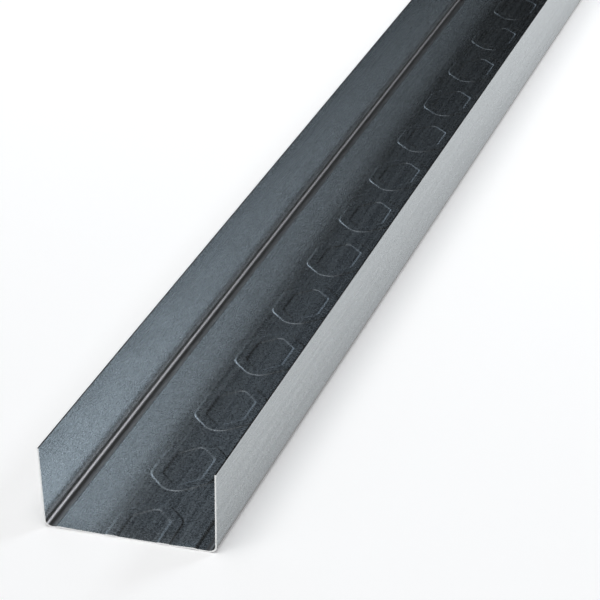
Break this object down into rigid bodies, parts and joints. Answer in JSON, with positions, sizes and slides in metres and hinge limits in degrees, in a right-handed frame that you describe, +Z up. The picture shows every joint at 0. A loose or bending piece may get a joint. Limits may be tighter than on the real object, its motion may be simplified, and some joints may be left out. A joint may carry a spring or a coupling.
{
  "type": "ceiling channel",
  "caption": "Straight U channel of thin galvanised steel sheet with plain flanges, rounded corners and a seat beside each corner, for framing ceilings and partitions.",
  "frame": {"origin": "middle of the length and of the width, on the plane that the web's two seats lie on", "axes": "+X across the web towards the wide seat, +Y along the channel, +Z up out of the open side"},
  "size_m": [0.0716, 2.4, 0.034],
  "materials": {
    "galvanised_steel": "matt galvanised coating with fine spangle and lengthwise roll marks"
  },
  "bodies": {
    "root": {"ceiling_channel": "galvanised_steel"}
  },
  "joints": []
}
